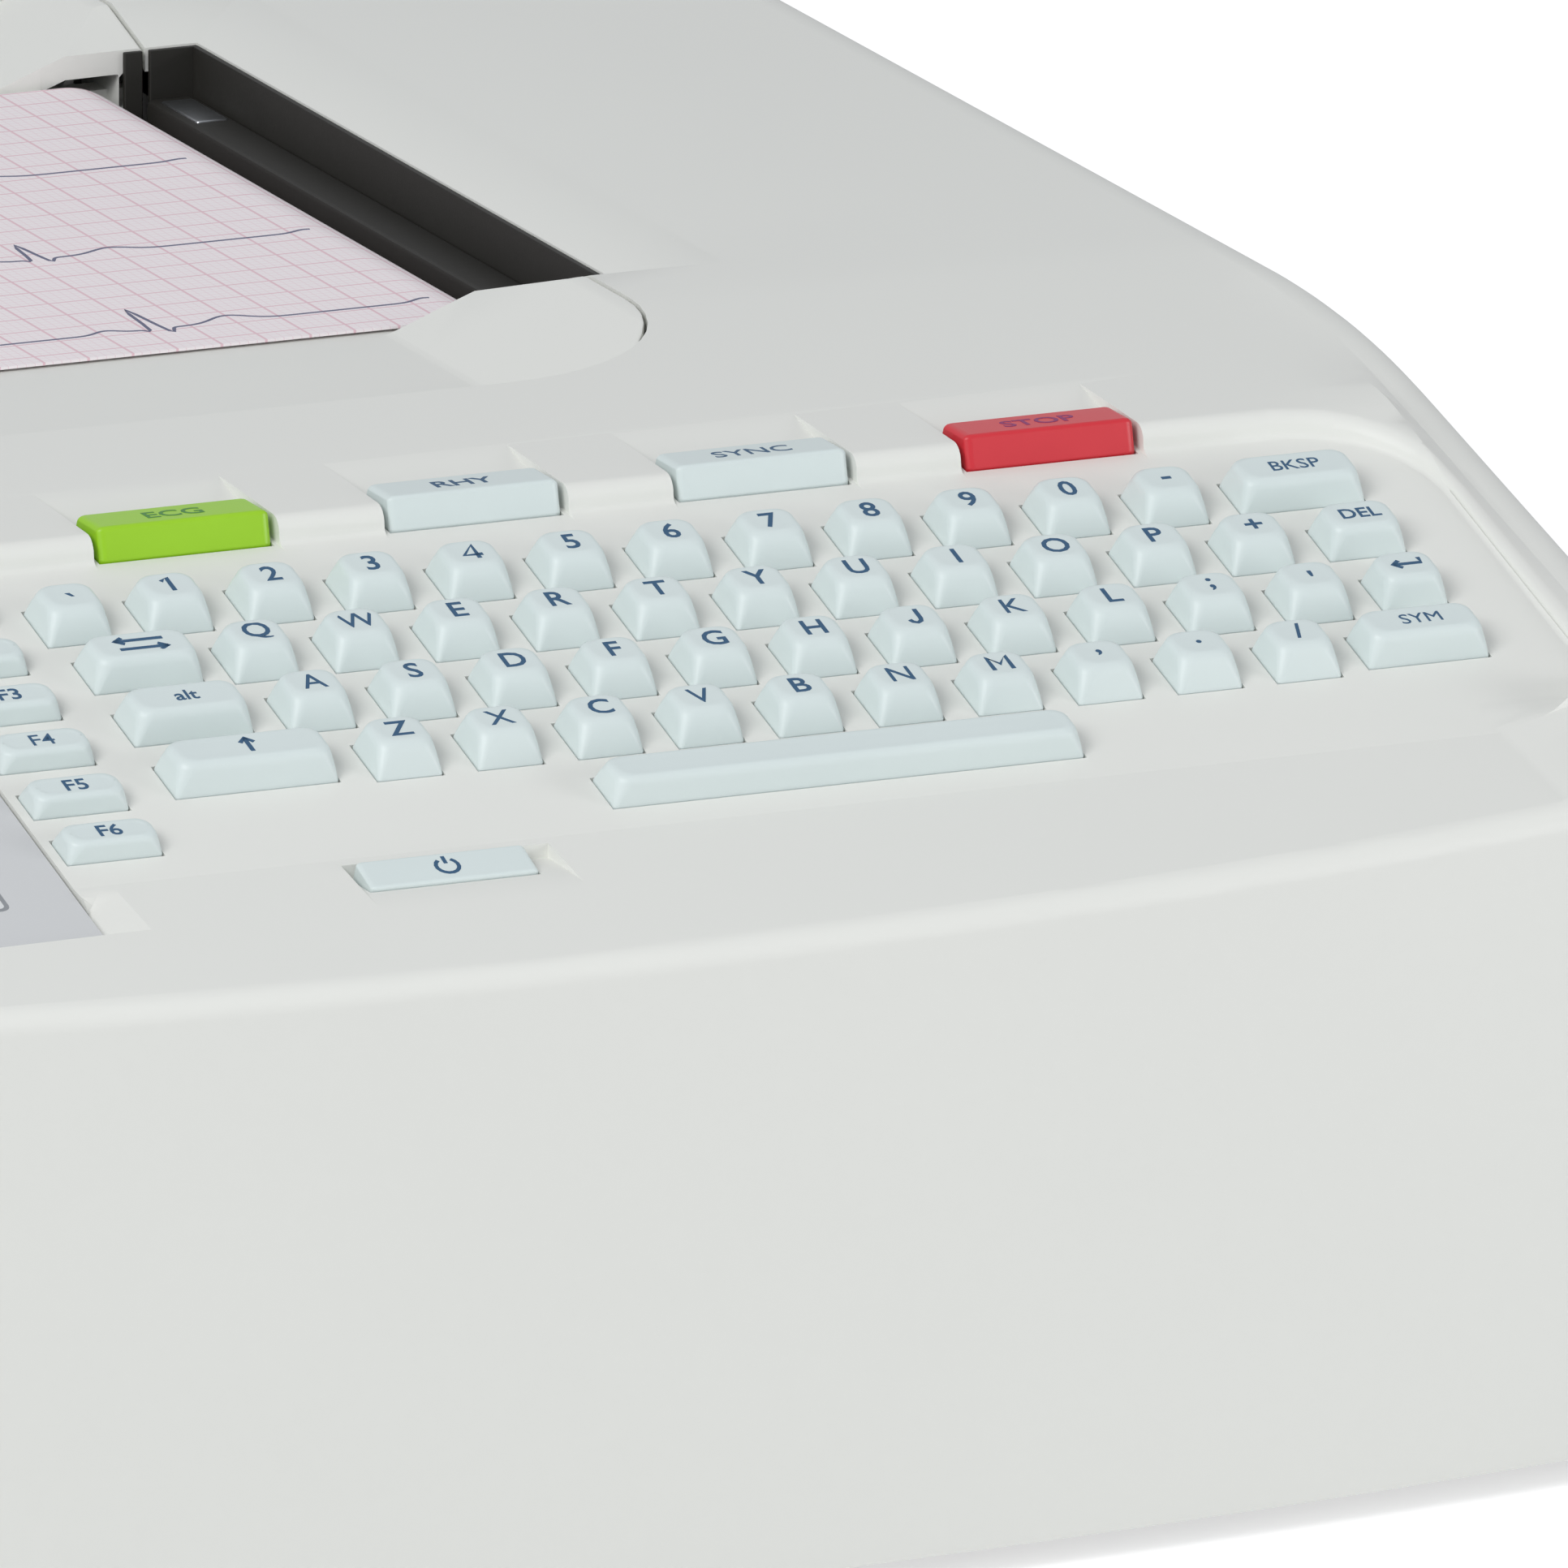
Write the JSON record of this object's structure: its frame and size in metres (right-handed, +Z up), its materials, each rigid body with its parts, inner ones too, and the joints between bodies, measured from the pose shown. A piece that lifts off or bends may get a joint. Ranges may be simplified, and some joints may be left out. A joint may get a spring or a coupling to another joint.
{
  "type": "electrocardiograph",
  "caption": "Portable resting electrocardiograph with a sloped keyboard, long function keys, a display, and a thermal chart writer under a cover that slides to the left.",
  "frame": {"origin": "centre of the footprint, on the table", "axes": "+X to the right as the user sits in front of the keyboard, +Y to the back, +Z up"},
  "size_m": [0.29, 0.316, 0.0963],
  "materials": {
    "housing": "fine matt texture, off-white",
    "key": "satin, pale blue grey",
    "green_key": "satin bright green",
    "red_key": "satin red",
    "window": "clear gloss over a pale grey liquid crystal panel",
    "dark_plastic": "matt black",
    "paper": "thermal paper, pale pink",
    "steel": "plain zinc-plated",
    "bearing_bronze": "sintered, plain",
    "gear_plastic": "natural white",
    "roller_rubber": "ground matt",
    "foot_rubber": "matt",
    "keypad_rubber": "matt silicone",
    "board": "green solder mask",
    "grey_plastic": "matt grey",
    "aluminium_case": "plain sheet",
    "battery_wrap": "shrink wrap",
    "socket_black": "moulded black"
  },
  "bodies": {
    "machine": {"top_housing": "housing", "base_housing": "housing", "paper_tray": "grey_plastic", "paper_stack": "paper", "paper_web": "paper", "stepper_motor": "steel", "writer_frame": "steel", "print_head": "dark_plastic", "print_head_spring": "steel", "display_window": "window", "display_module": "dark_plastic", "keypad_mat": "keypad_rubber", "keypad_board": "board", "main_board": "board", "power_supply": "aluminium_case", "battery_pack": "battery_wrap", "battery_cover": "housing", "speaker": "dark_plastic", "power_inlet": "socket_black", "network_jack": "socket_black", "data_ports": "socket_black", "patient_connector": "socket_black", "front_right_housing_screw": "steel", "front_left_housing_screw": "steel", "rear_right_housing_screw": "steel", "rear_left_housing_screw": "steel", "front_right_foot": "foot_rubber", "front_left_foot": "foot_rubber", "rear_right_foot": "foot_rubber", "rear_left_foot": "foot_rubber"},
    "cover": {"writer_cover": "housing", "front_platen_bearing": "bearing_bronze", "rear_platen_bearing": "bearing_bronze"},
    "latch": {"cover_latch_button": "key"},
    "platen": {"platen_roller": "roller_rubber", "platen_shaft": "steel", "platen_gear": "gear_plastic"},
    "pinion": {"motor_pinion": "bearing_bronze"},
    "number_row_keys": {"number_row_keys": "key"},
    "upper_letter_keys": {"upper_letter_keys": "key"},
    "home_row_keys": {"home_row_keys": "key"},
    "lower_letter_keys": {"lower_letter_keys": "key"},
    "backspace_key": {"backspace_key": "key"},
    "tab_key": {"tab_key": "key"},
    "alt_key": {"alt_key": "key"},
    "enter_key": {"enter_key": "key"},
    "shift_key": {"shift_key": "key"},
    "space_bar": {"space_bar": "key"},
    "f1_key": {"f1_key": "key"},
    "f2_key": {"f2_key": "key"},
    "f3_key": {"f3_key": "key"},
    "f4_key": {"f4_key": "key"},
    "f5_key": {"f5_key": "key"},
    "f6_key": {"f6_key": "key"},
    "green_function_key": {"green_function_key": "green_key"},
    "left_white_function_key": {"left_white_function_key": "key"},
    "right_white_function_key": {"right_white_function_key": "key"},
    "red_function_key": {"red_function_key": "red_key"},
    "power_key": {"power_key": "key"}
  },
  "joints": [
    {"name": "cover_slide", "type": "slide", "parent": "machine", "child": "cover", "axis": [-1, 0, 0], "range_m": [0, 0.1]},
    {"name": "latch_press", "type": "slide", "parent": "cover", "child": "latch", "axis": [1, 0, 0], "range_m": [0, 0.0025], "stiffness_N_per_m": 400, "springref_m": -0.001},
    {"name": "platen_spin", "type": "hinge", "parent": "cover", "child": "platen", "pos_m": [0.062, 0.066, 0.0817], "axis": [0, 1, 0], "continuous": true},
    {"name": "pinion_spin", "type": "hinge", "parent": "machine", "child": "pinion", "pos_m": [0.07442, 0.1302, 0.0786], "axis": [0, 1, 0], "continuous": true},
    {"name": "number_row_keys_press", "type": "slide", "parent": "machine", "child": "number_row_keys", "axis": [0, 0.284, -0.9588], "range_m": [0, 0.0012], "stiffness_N_per_m": 250, "springref_m": -0.001},
    {"name": "upper_letter_keys_press", "type": "slide", "parent": "machine", "child": "upper_letter_keys", "axis": [0, 0.284, -0.9588], "range_m": [0, 0.0012], "stiffness_N_per_m": 250, "springref_m": -0.001},
    {"name": "home_row_keys_press", "type": "slide", "parent": "machine", "child": "home_row_keys", "axis": [0, 0.284, -0.9588], "range_m": [0, 0.0012], "stiffness_N_per_m": 250, "springref_m": -0.001},
    {"name": "lower_letter_keys_press", "type": "slide", "parent": "machine", "child": "lower_letter_keys", "axis": [0, 0.284, -0.9588], "range_m": [0, 0.0012], "stiffness_N_per_m": 250, "springref_m": -0.001},
    {"name": "backspace_key_press", "type": "slide", "parent": "machine", "child": "backspace_key", "axis": [0, 0.284, -0.9588], "range_m": [0, 0.0012], "stiffness_N_per_m": 250, "springref_m": -0.001},
    {"name": "tab_key_press", "type": "slide", "parent": "machine", "child": "tab_key", "axis": [0, 0.284, -0.9588], "range_m": [0, 0.0012], "stiffness_N_per_m": 250, "springref_m": -0.001},
    {"name": "alt_key_press", "type": "slide", "parent": "machine", "child": "alt_key", "axis": [0, 0.284, -0.9588], "range_m": [0, 0.0012], "stiffness_N_per_m": 250, "springref_m": -0.001},
    {"name": "enter_key_press", "type": "slide", "parent": "machine", "child": "enter_key", "axis": [0, 0.284, -0.9588], "range_m": [0, 0.0012], "stiffness_N_per_m": 250, "springref_m": -0.001},
    {"name": "shift_key_press", "type": "slide", "parent": "machine", "child": "shift_key", "axis": [0, 0.284, -0.9588], "range_m": [0, 0.0012], "stiffness_N_per_m": 250, "springref_m": -0.001},
    {"name": "space_bar_press", "type": "slide", "parent": "machine", "child": "space_bar", "axis": [0, 0.284, -0.9588], "range_m": [0, 0.0012], "stiffness_N_per_m": 250, "springref_m": -0.001},
    {"name": "f1_key_press", "type": "slide", "parent": "machine", "child": "f1_key", "axis": [0, 0.284, -0.9588], "range_m": [0, 0.0012], "stiffness_N_per_m": 250, "springref_m": -0.001},
    {"name": "f2_key_press", "type": "slide", "parent": "machine", "child": "f2_key", "axis": [0, 0.284, -0.9588], "range_m": [0, 0.0012], "stiffness_N_per_m": 250, "springref_m": -0.001},
    {"name": "f3_key_press", "type": "slide", "parent": "machine", "child": "f3_key", "axis": [0, 0.284, -0.9588], "range_m": [0, 0.0012], "stiffness_N_per_m": 250, "springref_m": -0.001},
    {"name": "f4_key_press", "type": "slide", "parent": "machine", "child": "f4_key", "axis": [0, 0.284, -0.9588], "range_m": [0, 0.0012], "stiffness_N_per_m": 250, "springref_m": -0.001},
    {"name": "f5_key_press", "type": "slide", "parent": "machine", "child": "f5_key", "axis": [0, 0.284, -0.9588], "range_m": [0, 0.0012], "stiffness_N_per_m": 250, "springref_m": -0.001},
    {"name": "f6_key_press", "type": "slide", "parent": "machine", "child": "f6_key", "axis": [0, 0.284, -0.9588], "range_m": [0, 0.0012], "stiffness_N_per_m": 250, "springref_m": -0.001},
    {"name": "green_function_key_press", "type": "slide", "parent": "machine", "child": "green_function_key", "axis": [0, 0.284, -0.9588], "range_m": [0, 0.0012], "stiffness_N_per_m": 250, "springref_m": -0.001},
    {"name": "left_white_function_key_press", "type": "slide", "parent": "machine", "child": "left_white_function_key", "axis": [0, 0.284, -0.9588], "range_m": [0, 0.0012], "stiffness_N_per_m": 250, "springref_m": -0.001},
    {"name": "right_white_function_key_press", "type": "slide", "parent": "machine", "child": "right_white_function_key", "axis": [0, 0.284, -0.9588], "range_m": [0, 0.0012], "stiffness_N_per_m": 250, "springref_m": -0.001},
    {"name": "red_function_key_press", "type": "slide", "parent": "machine", "child": "red_function_key", "axis": [0, 0.284, -0.9588], "range_m": [0, 0.0012], "stiffness_N_per_m": 250, "springref_m": -0.001},
    {"name": "power_key_press", "type": "slide", "parent": "machine", "child": "power_key", "axis": [0, 0.284, -0.9588], "range_m": [0, 0.0012], "stiffness_N_per_m": 250, "springref_m": -0.001}
  ],
  "couplings": [
    {"joint": "pinion_spin", "follows": "platen_spin", "ratio": -1.6667}
  ]
}
